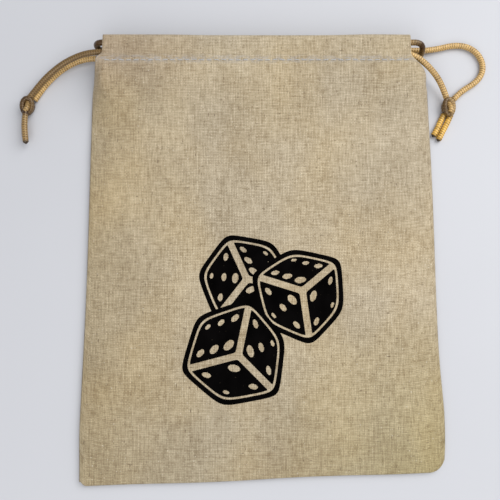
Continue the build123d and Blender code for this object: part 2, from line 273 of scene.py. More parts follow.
def thick_sheet(points, thickness):
    """Points and faces of a closed sheet round a grid of middle points.

    Each point is moved half the thickness both ways along the cross product of the grid's two
    directions, and the rim is closed with one strip of quads.
    """
    rows, columns = points.shape[:2]
    normal = unit(np.cross(np.gradient(points, axis=1), np.gradient(points, axis=0)))
    outer = (points + normal * thickness / 2).reshape(-1, 3)
    inner = (points - normal * thickness / 2).reshape(-1, 3)
    top = quads(rows, columns)
    number = np.arange(rows * columns).reshape(rows, columns)
    ring = np.concatenate([number[0, :-1], number[:-1, -1], number[-1, :0:-1], number[:0:-1, 0]])
    after = np.roll(ring, -1)
    shift = rows * columns
    rim = np.stack([ring + shift, after + shift, after, ring], axis=-1)
    faces = np.concatenate([top, top[:, ::-1] + shift, rim])
    return np.concatenate([outer, inner]), faces.tolist()


def carried_profile(path, across, up, ring):
    """Points and faces of a closed solid made by carrying a closed profile along a path.

    across and up are unit vectors at each point of the path; ring gives the profile as pairs, one
    row for all points or one for each. Both ends are closed by a fan round their middle.
    """
    ring = np.broadcast_to(ring, (len(path),) + ring.shape[-2:])
    body = path[:, None] + across[:, None] * ring[..., :1] + up[:, None] * ring[..., 1:]
    rows, columns = body.shape[:2]
    points = np.concatenate([body.reshape(-1, 3), body[:1].mean(axis=1), body[-1:].mean(axis=1)])
    first = np.arange(columns)
    after = np.roll(first, -1)
    start, end = rows * columns, rows * columns + 1
    last = (rows - 1) * columns
    caps = [np.stack([np.full(columns, start), after, first], axis=-1),
            np.stack([np.full(columns, end), first + last, after + last], axis=-1)]
    return points, quads(rows, columns, wrap=True).tolist() + caps[0].tolist() + caps[1].tolist()


def smooth_line(name, route, resolution=24):
    """Points, in millimetres, of the third-order NURBS whose control points are the route."""
    curve = bpy.data.curves.new(name, "CURVE")
    curve.dimensions = "3D"
    spline = curve.splines.new("NURBS")
    spline.points.add(len(route) - 1)
    spline.points.foreach_set("co", np.c_[np.array(route), np.ones(len(route))].ravel())
    spline.order_u = 3
    spline.use_endpoint_u = True
    spline.resolution_u = resolution
    holder = bpy.data.objects.new(name, curve)
    line = bpy.data.meshes.new_from_object(holder)
    points = np.empty(len(line.vertices) * 3)
    line.vertices.foreach_get("co", points)
    bpy.data.meshes.remove(line)
    bpy.data.objects.remove(holder)
    bpy.data.curves.remove(curve)
    return points.reshape(-1, 3) / MM


def along(points):
    """Distance of each point from the first, measured along the line."""
    return np.concatenate([[0.0], np.cumsum(np.linalg.norm(np.diff(points, axis=0), axis=1))])


def even_line(points, step):
    """The line's points moved to equal distances of about the step."""
    place = along(points)
    even = np.linspace(0.0, place[-1], int(round(place[-1] / step)) + 1)
    return np.stack([np.interp(even, place, points[:, k]) for k in range(3)], axis=-1), even


def untwisted_frame(path, reference):
    """Across and up at each point of a path, turning with it but not about it.

    A frame from a fixed reference is turned back by the sum of its own small turns about the path.
    """
    tangent = unit(np.gradient(path, axis=0))
    first = unit(reference - tangent * (tangent @ reference)[:, None])
    second = np.cross(tangent, first)
    turn = -np.cumsum(np.sum(np.gradient(first, axis=0) * second, axis=1))[:, None]
    across = np.cos(turn) * first + np.sin(turn) * second
    return across, np.cross(tangent, across)


def braided_tube(path, place, radius, pitch, reference, around=24, strands=6, swell=None):
    """Points, faces and strand height of a braided cord along a path.

    The radius is the cord's own times 0.925 plus a little of the strand height, with two slow sine
    ripples. The height mixes two families of ridges that wind opposite ways: the absolute cosines
    of half of (angle plus one turn per pitch), which are nearly level ribs, and of half of (strands
    x angle minus the same). The swell is one more factor for each point of the path.
    """
    angle = np.linspace(0.0, 2 * np.pi, around, endpoint=False)[None, :]
    phase = 2 * np.pi * place[:, None] / pitch
    rib = np.abs(np.cos((angle + phase) / 2))
    slant = np.abs(np.cos((strands * angle - phase) / 2))
    height = 0.60 * rib + 0.40 * slant
    slow = 1.0 + 0.012 * np.sin(place[:, None] / 3.1 + angle) + 0.008 * np.sin(place[:, None] / 7.7)
    size = radius * slow * (0.925 + 0.085 * height)
    if swell is not None:
        size = size * swell[:, None]
    ring = np.stack([size * np.cos(angle), size * np.sin(angle)], axis=-1)
    across, up = untwisted_frame(path, np.array(reference, float))
    points, faces = carried_profile(path, across, up, ring)
    height = np.concatenate([height.ravel(), [0.5, 0.5]])
    return points, faces, height


def together(solids):
    """Points and faces of several solids as those of one."""
    points, faces, count = [], [], 0
    for made, joined in solids:
        points.append(made)
        faces += [[corner + count for corner in face] for face in joined]
        count += len(made)
    return np.concatenate(points), faces


def per_ring(numbers, around=24):
    """One number per path point spread over its ring, and over the two end points."""
    return np.concatenate([np.repeat(numbers, around), [numbers[0], numbers[-1]]])


# ---------------------------------------------------------------- the bag's surfaces, in millimetres

def left_edge(y):
    """The left side's line: straight with two slow bows, drawn in to the channels' end at the mouth."""
    bow = 0.35 * np.sin((y + 60.0) / 27.0) + 0.9 * (1.0 - smooth(-97.0, -70.0, y))
    step = HALF_WIDTH + HEM_LOW[0]
    drawn = 0.48 * step * smooth(74.5, 84.6, y) + 0.52 * step * smooth(84.6, 87.6, y)
    return -HALF_WIDTH + bow * (1.0 - smooth(70.0, 80.0, y)) + drawn


def right_edge(y):
    """The right side's line: straight with a small bulge near the bottom, drawn in at the mouth."""
    bow = 0.8 * bell(y, -68.0, 16.0) + 0.3 * np.sin(y / 21.0) - 0.5 * (1.0 - smooth(-92.0, -78.0, y))
    step = HALF_WIDTH - HEM_HIGH[0]
    drawn = 0.16 * step * smooth(73.0, 81.0, y) + 0.84 * step * smooth(78.6, 86.8, y)
    return HALF_WIDTH + bow * (1.0 - smooth(66.0, 78.0, y)) - drawn


def bottom_line(x):
    """The bottom edge: a slanting line with its two corners rounded as quarter circles."""
    line = BOTTOM_Y + UNDER_BOX + BOTTOM_RISE * (x + HALF_WIDTH) / (2 * HALF_WIDTH) + 0.25 * np.sin(x / 13.0)
    right = np.clip(x - (HALF_WIDTH - RIGHT_CORNER), 0.0, RIGHT_CORNER - 0.1)
    left = np.clip(LEFT_CORNER + 0.7 - HALF_WIDTH - x, 0.0, LEFT_CORNER - 0.1)
    return (line + RIGHT_CORNER - np.sqrt(RIGHT_CORNER ** 2 - right ** 2)
            + LEFT_CORNER - np.sqrt(LEFT_CORNER ** 2 - left ** 2))


def hem_depth(x):
    """Distance between the back channel's two walls, the same all along."""
    return np.full_like(x, CHANNEL_DEPTH)


def front_hem_depth(x):
    """The channel's depth, plus a smooth dip where one cord passes under the other.

    It is a little deeper at its right end as well, where the left cord turns down.
    """
    dip = smooth(-42.5, -18.5, x) * (1.0 - smooth(25.0, 49.0, x))
    return hem_depth(x) + CROSSING_DIP * dip + END_DIP * smooth(50.0, 62.0, x)


def front_level(x, y, ripple, thickness):
    """Height of the middle of the front cloth.

    A crown height that rises by smoothstep from the pocket to the mouth, brought down to the seams
    by a parabola at the sides and at the bottom, with slow crossing sine ripples on it.
    """
    near = np.clip(np.minimum(x - left_edge(y), right_edge(y) - x), 0.0, None)
    reach = 22.0 - 16.5 * smooth(50.0, 79.0, y)
    side = np.clip(near / reach, 0.0, 1.0)
    side = side * (2.0 - side)
    foot = np.clip((y - bottom_line(x)) / 22.0, 0.0, 1.0)
    foot = foot * (2.0 - foot)
    crown = PRINT_TOP - UNDER_BOX - thickness / 2
    mouth = FRONT_TOP - UNDER_BOX - thickness / 2
    low = 1.95 - 0.35 * (1.0 - foot)
    high = crown + (mouth - crown) * smooth(53.0, 80.5, y)
    edge = low + (mouth - low) * smooth(75.0, 84.6, y)
    wave = (np.sin(x / 9.3 + 0.9 * np.sin(y / 17.0)) * np.cos(y / 12.1 + 0.5)
            + 0.7 * np.sin((x + 1.7 * y) / 14.9) + 0.5 * np.sin((x - 0.6 * y) / 5.9) * np.cos(y / 23.0))
    calm = 1.0 - 0.72 * smooth(70.0, 82.0, y)
    tuck = (-0.16 * bell(y, STITCH_Y, 0.8)
            + 0.07 * np.sin(x * 1.25 + np.sin(x / 4.0)) * bell(y, STITCH_Y - 1.5, 2.6))
    level = edge + (high - edge) * side * np.where(y < 40.0, foot, 1.0)
    return level + ripple * wave * calm * side * foot + tuck * smooth(70.0, 80.0, y)


def panel_rows(thickness, fold=13, inner=17, flange=13):
    """How the cloth runs from the bottom edge over the mouth and back to its own hem, row by row.

    Returns the share of the outer run, the offset in Y from the fold, the share of the way to the
    channel's inner wall, and the fold's Y. The fold is half an ellipse.
    """
    share = np.linspace(0.0, 1.0, OUTER_ROWS)
    share = 0.45 * share + 0.55 * share * share * (3.0 - 2.0 * share)
    turn = np.linspace(0.0, np.pi, fold)[1:]
    back = np.linspace(0.0, 1.0, inner)[1:]
    down = np.linspace(0.0, 1.0, flange)[1:]
    fold_y = MOUTH_Y - thickness / 2 - FOLD_RADIUS - FOLD_SPARE
    run_y = np.concatenate([np.zeros(OUTER_ROWS), FOLD_RADIUS * np.sin(turn), back * (HEM_BEND_Y - fold_y),
                            HEM_BEND_Y - fold_y + down * (HEM_FOOT_Y - HEM_BEND_Y)])
    depth = np.concatenate([np.zeros(OUTER_ROWS), (1.0 - np.cos(turn)) / 2, np.ones(inner - 1),
                            1.0 - smooth(0.0, 0.48, down)])
    outer_share = np.concatenate([share, np.ones(len(run_y) - OUTER_ROWS)])
    return outer_share, run_y, depth, fold_y


def panel_grid(thickness, depth_at, columns=156):
    """X, Y and distance inwards of every point of one panel with its hem, as grids.

    The distance inwards is 0 on the outer run, the depth's share of the channel round the fold, and
    goes from the channel's whole depth down to one thickness on the hem.
    """
    share, run_y, depth, fold_y = panel_rows(thickness)
    u = np.linspace(0.0, 1.0, columns)
    u = 0.55 * u + 0.45 * u * u * (3.0 - 2.0 * u)
    start = bottom_line((2 * u - 1) * HALF_WIDTH)
    y = start[None, :] + (fold_y - start[None, :]) * share[:, None] + run_y[:, None]
    left, right = left_edge(y), right_edge(y)
    x = left + (right - left) * u[None, :]
    depth, run_y = depth[:, None], run_y[:, None]
    hem = thickness + (depth_at(x) - thickness) * depth
    fold = depth_at(x) * depth
    inwards = np.select([run_y > 0.0, (depth > 0.0) | (run_y < 0.0)], [fold, hem], 0.0)
    return x, y, inwards


def cloth_uv(points):
    """Cloth coordinates in metres: X across, and the length along each column, level at the mouth fold."""
    step = np.linalg.norm(np.diff(points, axis=0), axis=2)
    length = np.concatenate([np.zeros((1, points.shape[1])), np.cumsum(step, axis=0)])
    length = length - length[OUTER_ROWS - 1:OUTER_ROWS, :]
    pair = np.stack([points[..., 0], length], axis=-1).reshape(-1, 2) * MM
    return np.concatenate([pair, pair])


# ---------------------------------------------------------------- the printed dice

class Cube:
    """A cube seen corner-on in perspective, drawn flat.

    Its three near edges start 120 degrees apart at the near corner and lean away equally; then the
    cube is turned, tipped about X and Y, and projected from a distance.
    """

    def __init__(self, corner, turn, tip_x, tip_y, edge, distance, pips):
        self.corner = np.array(corner)
        self.distance = distance
        self.pips = pips
        angle = np.radians(turn + np.array([90.0, 210.0, 330.0]))
        arms = np.stack([np.cos(angle) * math.sqrt(2 / 3), np.sin(angle) * math.sqrt(2 / 3),
                         np.full(3, -1 / math.sqrt(3))], axis=1) * edge
        cx, sx = math.cos(math.radians(tip_x)), math.sin(math.radians(tip_x))
        cy, sy = math.cos(math.radians(tip_y)), math.sin(math.radians(tip_y))
        about_x = np.array([[1, 0, 0], [0, cx, -sx], [0, sx, cx]])
        about_y = np.array([[cy, 0, sy], [0, 1, 0], [-sy, 0, cy]])
        self.arms = arms @ (about_x @ about_y).T

    def project(self, point):
        """Flat place of a point of the cube."""
        return self.corner + point[:2] * self.distance / (self.distance - point[2])

    def face_place(self, p, side):
        """Shares of the way along a face's two near edges, at flat points, by undoing the perspective."""
        first, second = self.arms[side], self.arms[(side + 1) % 3]
        q = p - self.corner
        a = first[:2] + q * first[2] / self.distance
        b = second[:2] + q * second[2] / self.distance
        det = a[..., 0] * b[..., 1] - a[..., 1] * b[..., 0]
        u = (q[..., 0] * b[..., 1] - q[..., 1] * b[..., 0]) / det
        v = (a[..., 0] * q[..., 1] - a[..., 1] * q[..., 0]) / det
        return u, v

    def outline(self, p):
        """Distance inside the rounded hexagon of the cube's six far corners."""
        corners = []
        for side in range(3):
            corners.append(self.project(self.arms[side]))
            corners.append(self.project(self.arms[side] + self.arms[(side + 1) % 3]))
        return inside(p, np.array(corners), -0.55, 4.4)

    def ink(self, p):
        """Distance inside the black: the outer line, and three faces less their pips."""
        hexagon = self.outline(p)
        black = np.minimum(hexagon + OUTLINE_WIDTH, -hexagon)
        for side in range(3):
            first, second = self.arms[side], self.arms[(side + 1) % 3]
            corners = np.array([self.corner, self.project(first), self.project(first + second),
                                self.project(second)])
            face = inside(p, corners, np.array([1.4, 0.2, 0.2, 1.4]), 0.9)
            face = np.minimum(face, hexagon - 0.85)
            u, v = self.face_place(p, side)
            scale = np.linalg.norm(first) * 0.8
            for pu, pv in self.pips[side]:
                spot = (0.112 - 0.036 * (pu + pv) - np.hypot(u - pu, v - pv)) * scale
                face = np.minimum(face, -spot)
            black = np.maximum(black, face)
        return black


def inside(p, corners, margins, rounding):
    """Distance inside a convex polygon whose edges are moved inwards by the margins.

    The smallest distance to an edge's line, with a soft minimum that rounds the corners.
    """
    after = np.roll(corners, -1, axis=0)
    run = unit(after - corners)
    area = np.sum(corners[:, 0] * after[:, 1] - corners[:, 1] * after[:, 0])
    normal = np.stack([-run[:, 1], run[:, 0]], axis=1) * np.sign(area)
    distance = np.sum((p[..., None, :] - corners) * normal, axis=-1) - margins
    soft = -rounding * 0.36 * np.log(np.sum(np.exp(-distance / (rounding * 0.36)), axis=-1))
    return soft


def pip_grid(first, second):
    """Pip places on a face for every pair of shares along its two near edges."""
    return [(u, v) for u in first for v in second]


def motif(p):
    """Distance inside the black of the three dice, each one covering those behind it."""
    ends, thirds = (0.25, 0.79), (0.23, 0.51, 0.79)
    four = pip_grid(ends, ends)
    five = four + [(0.5, 0.5)]
    hidden = four[:3]
    across = pip_grid(ends, thirds)
    cubes = [
        Cube((-6.0, -12.0), 23.0, -1.0, 2.0, 24.0, 280.0, (five, hidden, across)),
        Cube((17.5, -17.0), -50.0, -3.0, 3.0, 27.5, 110.0, (across, five, four)),
        Cube((-9.5, -44.0), -14.0, 1.5, 3.0, 29.0, 160.0, (across, four, five)),
    ]
    black = np.full(p.shape[:-1], -99.0)
    for cube in cubes:
        cover = cube.outline(p) + OUTLINE_WIDTH
        black = np.maximum(np.minimum(black, 0.35 - cover), cube.ink(p))
    return black


# ---------------------------------------------------------------- materials

class Shader:
    """A material's node tree, with short calls for the nodes that the finishes below are made of."""

    def __init__(self, name):
        self.material = bpy.data.materials.new(name)
        self.material.use_nodes = True
        self.tree = self.material.node_tree
        self.surface = self.tree.nodes["Principled BSDF"]

    def node(self, kind, inputs=None, **settings):
        """A new node with its settings, and its inputs set to constants or linked to sockets."""
        made = self.tree.nodes.new(kind)
        for key, value in settings.items():
            setattr(made, key, value)
        for key, value in (inputs or {}).items():
            self.feed(made.inputs[key], value)
        return made

    def feed(self, socket, value):
        """Links a socket to another, or sets its constant."""
        if isinstance(value, bpy.types.NodeSocket):
            self.tree.links.new(value, socket)
        else:
            socket.default_value = value

    def math(self, operation, first, second=0.0, third=0.0, clamp=False):
        """Math: an operation on up to three values."""
        made = self.node("ShaderNodeMath", operation=operation, use_clamp=clamp)
        self.feed(made.inputs[0], first)
        self.feed(made.inputs[1], second)
        self.feed(made.inputs[2], third)
        return made.outputs[0]

    def mix(self, amount, first, second, blend="MIX"):
        """Mix Color: the first colour blended with the second by the amount."""
        made = self.node("ShaderNodeMix", data_type="RGBA", blend_type=blend)
        self.feed(made.inputs[0], amount)
        self.feed(made.inputs[6], first)
        self.feed(made.inputs[7], second)
        return made.outputs[2]

    def spread(self, value, low, high, out_low=0.0, out_high=1.0):
        """Map Range: value from low..high to out_low..out_high, held at the ends."""
        made = self.node("ShaderNodeMapRange", {"Value": value, "From Min": low, "From Max": high,
                                                "To Min": out_low, "To Max": out_high})
        return made.outputs[0]

    def noise(self, vector, stretch, detail=2.0, roughness=0.5, shift=(0.0, 0.0, 0.0)):
        """Noise of scale 1 read at the vector times the stretch."""
        placed = self.node("ShaderNodeMapping", {"Vector": vector, "Scale": stretch, "Location": shift})
        made = self.node("ShaderNodeTexNoise", {"Vector": placed.outputs[0], "Scale": 1.0,
                                                "Detail": detail, "Roughness": roughness})
        return made.outputs["Fac"]

    def bump(self, height, distance, strength=1.0, under=None):
        """Bump: a normal from a height, laid over the normal of the bump under it if there is one."""
        made = self.node("ShaderNodeBump", {"Height": height, "Distance": distance, "Strength": strength})
        if under is not None:
            self.feed(made.inputs["Normal"], under)
        return made.outputs[0]

    def finish(self, **inputs):
        """Feeds the Principled shader's inputs, named with underscores for spaces."""
        for key, value in inputs.items():
            self.feed(self.surface.inputs[key.replace("_", " ")], value)
        return self.material


def colour(value, share=1.0):
    """A four-part colour from a setting, made darker by the share."""
    return (value[0] * share, value[1] * share, value[2] * share, 1.0)


def weave(shader, u, v, pitch):
    """Plain weave: height and which thread is on top.

    Each thread is a rounded ridge, the cosine of its own cross place, and dips where the other one
    passes over it; cells whose two thread numbers add up to an even number show the upright thread.
    """
    across = shader.math("DIVIDE", u, pitch)
    up = shader.math("DIVIDE", v, pitch)
    column = shader.math("FLOOR", across)
    row = shader.math("FLOOR", up)
    sum_of_both = shader.math("ADD", column, row)
    upright = shader.math("FLOORED_MODULO", sum_of_both, 2.0)
    in_column = shader.math("SUBTRACT", shader.math("SUBTRACT", across, column), 0.5)
    in_row = shader.math("SUBTRACT", shader.math("SUBTRACT", up, row), 0.5)
    ridge_up = shader.math("COSINE", shader.math("MULTIPLY", in_column, math.pi))
    ridge_flat = shader.math("COSINE", shader.math("MULTIPLY", in_row, math.pi))
    over_up = shader.math("MULTIPLY", ridge_up, shader.math("MULTIPLY_ADD", ridge_flat, 0.45, 0.55))
    over_flat = shader.math("MULTIPLY", ridge_flat, shader.math("MULTIPLY_ADD", ridge_up, 0.45, 0.55))
    change = shader.math("SUBTRACT", over_up, over_flat)
    height = shader.math("MULTIPLY_ADD", change, upright, over_flat)
    return height, upright, column, row


def linen(name, cloth, shade=1.0):
    """Natural linen: woven threads of uneven colour and thickness, slubs, dark specks and slow patches.

    Painted shade darkens it towards the bottom and the left, with a yellow cast at the lower right
    and a blue-grey one at the left end of the mouth, and a dusty band lies along the row of stitches.
    """
    shader = Shader(name)
    place = shader.node("ShaderNodeUVMap", uv_map="cloth").outputs[0]
    split = shader.node("ShaderNodeSeparateXYZ", {"Vector": place})
    sway = shader.noise(place, (35.0, 60.0, 1.0), 1.0)
    bend_u = shader.math("MULTIPLY_ADD", sway, 0.0011, split.outputs[0])
    climb = shader.noise(place, (60.0, 35.0, 1.0), 1.0, shift=(7.0, 3.0, 0.0))
    bend_v = shader.math("MULTIPLY_ADD", climb, 0.0011, split.outputs[1])
    height, upright, column, row = weave(shader, bend_u, bend_v, cloth.thread_pitch)
    warp_tone = shader.node("ShaderNodeTexWhiteNoise", {"W": column}, noise_dimensions="1D").outputs[0]
    weft_tone = shader.node("ShaderNodeTexWhiteNoise", {"W": shader.math("ADD", row, 311.0)},
                            noise_dimensions="1D").outputs[0]
    warp_run = shader.noise(place, (1250.0, 170.0, 1.0), 2.5, 0.65)
    weft_run = shader.noise(place, (210.0, 1250.0, 1.0), 2.5, 0.65, (11.0, 5.0, 0.0))
    warp = shader.math("MULTIPLY_ADD", warp_tone, 0.13, shader.spread(warp_run, 0.27, 0.73, 0.0, 0.90))
    weft = shader.math("MULTIPLY_ADD", weft_tone, 0.10, shader.spread(weft_run, 0.27, 0.73, 0.05, 0.85))
    tone = shader.math("MULTIPLY_ADD", shader.math("SUBTRACT", warp, weft), upright, weft)
    streaks = shader.math("MULTIPLY", shader.math("ADD", warp, weft), 0.5)
    tone = shader.math("MULTIPLY_ADD", tone, 0.55, shader.math("MULTIPLY", streaks, 0.45))
    slow = shader.noise(place, (42.0, 30.0, 1.0), 3.0, 0.55, (2.0, 9.0, 0.0))
    patches = shader.spread(slow, 0.3, 0.7, -0.10, 0.10)
    cloudy = shader.spread(shader.noise(place, (260.0, 210.0, 1.0), 2.0, 0.6), 0.3, 0.7, -0.06, 0.06)
    tone = shader.math("ADD", shader.math("ADD", tone, patches), cloudy, clamp=True)
    base = shader.mix(shader.spread(tone, 0.16, 0.84), colour(cloth.dark_thread, shade),
                      colour(cloth.light_thread, shade))
    yellowed = shader.noise(place, (24.0, 18.0, 1.0), 2.0, 0.5, (5.0, 1.0, 0.0))
    warm = shader.spread(yellowed, 0.42, 0.66, 0.0, 0.26)
    base = shader.mix(warm, base, (0.72, 0.56, 0.30, 1.0), "SOFT_LIGHT")
    # Painted shade: darker towards the bottom, yellower at the lower right, darker towards the left and
    # blue-grey at the left end of the mouth, where the light is weaker
    low = shader.spread(split.outputs[1], -0.195, -0.120, 1.0, 0.0)
    shade_east = shader.spread(split.outputs[0], 0.0, 0.070)
    shade_west = shader.spread(split.outputs[0], -0.075, -0.020, 1.0, 0.0)
    top = shader.spread(split.outputs[1], -0.030, -0.012)
    base = shader.mix(low, base, (0.86, 0.86, 0.84, 1.0), "MULTIPLY")
    base = shader.mix(shader.math("MULTIPLY", low, shade_east), base, (0.96, 0.94, 0.70, 1.0), "MULTIPLY")
    base = shader.mix(shade_west, base, (0.925, 0.89, 0.80, 1.0), "MULTIPLY")
    base = shader.mix(shader.math("MULTIPLY", top, shade_west), base, (0.88, 0.86, 0.97, 1.0), "MULTIPLY")
    from_row = shader.math("ABSOLUTE", shader.math("SUBTRACT", split.outputs[1], ROW_DROP * MM))
    dusty = shader.noise(place, (320.0, 700.0, 1.0), 2.0, 0.6, (6.0, 6.0, 0.0))
    dust = shader.math("MULTIPLY", shader.spread(from_row, 0.0004, 0.0030, 1.0, 0.0),
                       shader.spread(dusty, 0.40, 0.62, 0.0, 0.42))
    base = shader.mix(dust, base, (0.43, 0.44, 0.47, 1.0))
    upright_slub = shader.noise(place, (1500.0, 330.0, 1.0), 1.0, 0.5, (3.0, 8.0, 0.0))
    slub_up = shader.spread(upright_slub, 0.69, 0.77)
    level_slub = shader.noise(place, (330.0, 1500.0, 1.0), 1.0, 0.5, (8.0, 2.0, 0.0))
    slub_flat = shader.spread(level_slub, 0.70, 0.77)
    speck = shader.math("MULTIPLY", shader.math("MAXIMUM", slub_up, slub_flat), 0.72)
    base = shader.mix(speck, base, colour((0.13, 0.085, 0.045)))
    bleached = shader.noise(place, (1400.0, 900.0, 1.0), 1.0, 0.5, (4.0, 4.0, 0.0))
    fleck = shader.spread(bleached, 0.70, 0.77, 0.0, 0.55)
    base = shader.mix(fleck, base, (0.80, 0.74, 0.60, 1.0))
    # Painted shade: the weave is darker where the threads dip between their crossings
    dip = shader.spread(height, 0.15, 0.62, 0.77, 1.0)
    thread_gap_shade = shader.node("ShaderNodeCombineColor", {"Red": dip, "Green": dip, "Blue": dip})
    base = shader.mix(1.0, base, thread_gap_shade.outputs[0], "MULTIPLY")
    fuzz = shader.noise(place, (4200.0, 4200.0, 1.0), 3.0, 0.7)
    thick = shader.math("MULTIPLY_ADD", streaks, 0.7, height)
    normal = shader.bump(thick, 0.00016, 0.9)
    normal = shader.bump(fuzz, 0.00005, 0.6, normal)
    rough = shader.spread(fuzz, 0.3, 0.7, 0.78, 0.92)
    return shader.finish(Base_Color=base, Roughness=rough, Normal=normal, Sheen_Weight=0.22,
                         Sheen_Roughness=0.5, Sheen_Tint=(1.0, 0.93, 0.80, 1.0), Specular_IOR_Level=0.25)


def printed_ink(name, cloth):
    """Flat black ink in the weave: the threads still stand out, and a few crossings stay bare."""
    shader = Shader(name)
    place = shader.node("ShaderNodeUVMap", uv_map="cloth").outputs[0]
    split = shader.node("ShaderNodeSeparateXYZ", {"Vector": place})
    height = weave(shader, split.outputs[0], split.outputs[1], cloth.thread_pitch)[0]
    wear_and_shade = shader.noise(place, (900.0, 900.0, 1.0), 2.0, 0.6)
    cloud = shader.noise(place, (120.0, 90.0, 1.0), 2.0, 0.5)
    bare = shader.math("MULTIPLY", shader.spread(wear_and_shade, 0.70, 0.80),
                       shader.spread(height, 0.2, 0.5, 1.0, 0.35))
    base = shader.mix(shader.spread(cloud, 0.3, 0.7, 0.0, 1.0), colour(cloth.ink), colour(cloth.ink, 2.4))
    base = shader.mix(shader.math("MULTIPLY", bare, 0.5), base, colour(cloth.dark_thread, 0.8))
    normal = shader.bump(height, 0.00012, 0.7)
    rough = shader.spread(cloud, 0.3, 0.7, 0.75, 0.90)
    return shader.finish(Base_Color=base, Roughness=rough, Normal=normal, Specular_IOR_Level=0.0)


def sewing_thread(name, cloth):
    """Twisted cotton: fine slanting plies and a little fuzz."""
    shader = Shader(name)
    place = shader.node("ShaderNodeTexCoord").outputs["Object"]
    split = shader.node("ShaderNodeSeparateXYZ", {"Vector": place})
    slant = shader.math("ADD", split.outputs[0], split.outputs[1])
    ply = shader.math("SINE", shader.math("MULTIPLY", slant, 14000.0))
    fuzz = shader.noise(place, (3000.0, 3000.0, 3000.0), 2.0, 0.6)
    base = shader.mix(shader.spread(ply, -1.0, 1.0, 0.0, 0.35), colour(cloth.sewing_thread),
                      colour(cloth.sewing_thread, 0.55))
    base = shader.mix(shader.spread(fuzz, 0.35, 0.7, 0.0, 0.3), base, (0.85, 0.84, 0.82, 1.0))
    normal = shader.bump(ply, 0.00005, 0.8)
    return shader.finish(Base_Color=base, Roughness=0.6, Normal=normal, Sheen_Weight=0.2)


def satin_cord(name, cord, gold):
    """Satin braid: bright strand tops, brown valleys, fine fibres, and a dark singed tip where marked."""
    shader = Shader(name)
    place = shader.node("ShaderNodeTexCoord").outputs["Object"]
    height = shader.node("ShaderNodeAttribute", attribute_name="strand").outputs["Fac"]
    shade = shader.node("ShaderNodeAttribute", attribute_name="shade").outputs["Fac"]
    tip = shader.node("ShaderNodeAttribute", attribute_name="tip").outputs["Fac"]
    fibre = shader.noise(place, (2600.0, 2600.0, 2600.0), 2.0, 0.6)
    patch = shader.noise(place, (420.0, 420.0, 420.0), 1.0, 0.5)
    # Painted shade: the valleys between the ribs go towards brown and the rib tops stay gold
    lit = shader.math("MULTIPLY_ADD", fibre, 0.40, shader.spread(height, 0.30, 0.92, 0.05, 0.72))
    lit = shader.math("ADD", lit, shader.spread(patch, 0.3, 0.7, -0.20, 0.20), clamp=True)
    base = shader.mix(lit, colour(cord.brown, 1.3), colour(gold))
    # Painted shade: the shade attribute, with random patches on it, takes the cord towards brown in its
    # shaded turns and strands
    wear_and_shade = shader.math("ADD", shade, shader.spread(patch, 0.35, 0.65, -0.08, 0.08), clamp=True)
    base = shader.mix(wear_and_shade, base, colour(cord.brown))
    base = shader.mix(tip, base, colour(cord.singed))
    normal = shader.bump(fibre, 0.00006, 0.6)
    rough = shader.spread(tip, 0.0, 1.0, 0.27, 0.22)
    return shader.finish(Base_Color=base, Roughness=rough, Normal=normal, Sheen_Weight=0.12,
                         Sheen_Roughness=0.35, Sheen_Tint=(1.0, 0.80, 0.45, 1.0), Specular_IOR_Level=0.75,
                         Specular_Tint=(1.0, 0.86, 0.66, 1.0))


def table_top(name, stage):
    """Smooth white board: a faint cool mottling and a soft gloss."""
    shader = Shader(name)
    place = shader.node("ShaderNodeTexCoord").outputs["Object"]
    mottle = shader.noise(place, (9.0, 9.0, 9.0), 3.0, 0.5)
    base = shader.mix(shader.spread(mottle, 0.3, 0.7), colour(stage.floor), colour(stage.floor, 0.975))
    return shader.finish(Base_Color=base, Roughness=0.42, Specular_IOR_Level=0.35)


# ---------------------------------------------------------------- operators

# Piece, path and length of each cord, in metres: the cords step fills it and the tails step reads it
CORD_LINES = {}


class BAG_OT_stage(bpy.types.Operator):
    """Set up the camera, the table and the soft lights"""

    bl_idname = "bag.stage"
    bl_label = "Stage and camera"

    def execute(self, context):
        scene, stage = context.scene, context.scene.bag_stage
        scene.view_settings.view_transform = "Standard"
        camera = bpy.data.objects.new("camera", bpy.data.cameras.new("camera"))
        camera.data.sensor_width = 36.0
        camera.data.lens = stage.focal_length
        camera.location = CAMERA_PLACE
        camera.rotation_euler = (stage.tilt, 0.0, 0.0)
        scene.collection.objects.link(camera)
        scene.camera = camera
        mesh = bpy.data.meshes.new("table")
        side = TABLE_HALF_SIDE
        mesh.from_pydata([(-side, -side, 0), (side, -side, 0), (side, side, 0), (-side, side, 0)], [],
                         [(0, 1, 2, 3)])
        mesh.materials.append(table_top("white board", stage))
        table = bpy.data.objects.new("table", mesh)
        scene.collection.objects.link(table)
        world = bpy.data.worlds.new("studio")
        world.use_nodes = True
        world.node_tree.nodes["Background"].inputs[0].default_value = (0.93, 0.95, 1.0, 1.0)
        world.node_tree.nodes["Background"].inputs[1].default_value = stage.sky
        scene.world = world
        for name, place, size, power in (
            ("key", (0.50, 0.32, 0.70), 0.90, stage.key_power),
            ("fill", (-0.10, -0.62, 0.70), 0.7, stage.fill_power),
        ):
            light = bpy.data.lights.new(name, "AREA")
            light.size = size
            light.energy = power
            lamp = bpy.data.objects.new(name, light)
            lamp.location = place
            scene.collection.objects.link(lamp)
            aim = np.array(place)
            lamp.rotation_euler = (math.acos(aim[2] / np.linalg.norm(aim)), 0.0,
                                   math.atan2(aim[1], aim[0]) + math.pi / 2)
        return {"FINISHED"}


